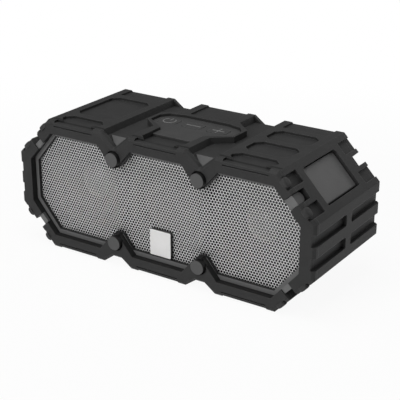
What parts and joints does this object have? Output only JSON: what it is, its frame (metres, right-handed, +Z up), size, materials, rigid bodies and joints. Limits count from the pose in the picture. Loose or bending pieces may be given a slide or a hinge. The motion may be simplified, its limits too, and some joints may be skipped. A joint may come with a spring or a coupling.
{
  "type": "portable loudspeaker",
  "caption": "Rugged portable loudspeaker in a ribbed rubber jacket, with eight-sided grille lobes, press buttons on top and a hinged port cover on one sloping end",
  "frame": {"origin": "middle of the base, under the middle of the overall box", "axes": "+X to the end with the port cover, +Z up, and the grille faces -Y"},
  "size_m": [0.2012, 0.079, 0.081],
  "materials": {
    "rubber": "moulded matt",
    "pad_rubber": "moulded matt",
    "cover_plastic": "fine grain",
    "inner_plastic": "fine grain",
    "sheet_metal": "silver grey paint",
    "plate_white": "satin white",
    "steel": "plain",
    "magnet": "plated",
    "cone_paper": "coated pulp",
    "cap": "satin",
    "roll_rubber": "matt",
    "board": "solder mask",
    "cell_wrap": "shrink film"
  },
  "bodies": {
    "speaker_body": {"jacket": "rubber", "front_bezel": "rubber", "grille_frame": "inner_plastic", "grille": "sheet_metal", "badge_plate": "plate_white", "bezel_pins": "cover_plastic", "rear_cover": "rubber", "rear_screws": "steel", "inner_shell": "inner_plastic", "baffle": "inner_plastic", "baffle_gasket": "roll_rubber", "left_basket": "steel", "left_motor": "magnet", "left_surround": "roll_rubber", "right_basket": "steel", "right_motor": "magnet", "right_surround": "roll_rubber", "radiator_frame": "steel", "radiator_surround": "roll_rubber", "driver_screws": "steel", "control_pad": "pad_rubber", "key_board": "board", "key_switches": "steel", "port_hinge_pin": "steel", "port_panel": "inner_plastic", "socket_board": "board", "usb_socket": "magnet", "charge_socket": "magnet", "audio_socket": "inner_plastic", "main_board": "board", "board_screws": "steel", "battery_cells": "cell_wrap", "battery_cradle": "inner_plastic"},
    "power_key": {"power_button": "pad_rubber"},
    "minus_key": {"minus_button": "pad_rubber"},
    "plus_key": {"plus_button": "pad_rubber"},
    "port_door": {"port_cover": "cover_plastic"},
    "left_moving": {"left_cone": "cone_paper", "left_dust_cap": "cap"},
    "right_moving": {"right_cone": "cone_paper", "right_dust_cap": "cap"},
    "radiator_moving": {"radiator_disc": "cone_paper", "radiator_weight": "magnet"}
  },
  "joints": [
    {"name": "power_press", "type": "slide", "parent": "speaker_body", "child": "power_key", "axis": [0, 0, -1], "range_m": [0, 0.0006], "stiffness_N_per_m": 1500},
    {"name": "minus_press", "type": "slide", "parent": "speaker_body", "child": "minus_key", "axis": [0, 0, -1], "range_m": [0, 0.0006], "stiffness_N_per_m": 1500},
    {"name": "plus_press", "type": "slide", "parent": "speaker_body", "child": "plus_key", "axis": [0, 0, -1], "range_m": [0, 0.0006], "stiffness_N_per_m": 1500},
    {"name": "port_door_hinge", "type": "hinge", "parent": "speaker_body", "child": "port_door", "pos_m": [0.09389, 0.001, 0.0591], "axis": [0, 1, 0], "range_deg": [0, 90]},
    {"name": "left_excursion", "type": "slide", "parent": "speaker_body", "child": "left_moving", "axis": [0, -1, 0], "range_m": [-0.002, 0.002], "stiffness_N_per_m": 1500},
    {"name": "right_excursion", "type": "slide", "parent": "speaker_body", "child": "right_moving", "axis": [0, -1, 0], "range_m": [-0.002, 0.002], "stiffness_N_per_m": 1500},
    {"name": "radiator_excursion", "type": "slide", "parent": "speaker_body", "child": "radiator_moving", "axis": [0, -1, 0], "range_m": [-0.0025, 0.0025], "stiffness_N_per_m": 800}
  ]
}
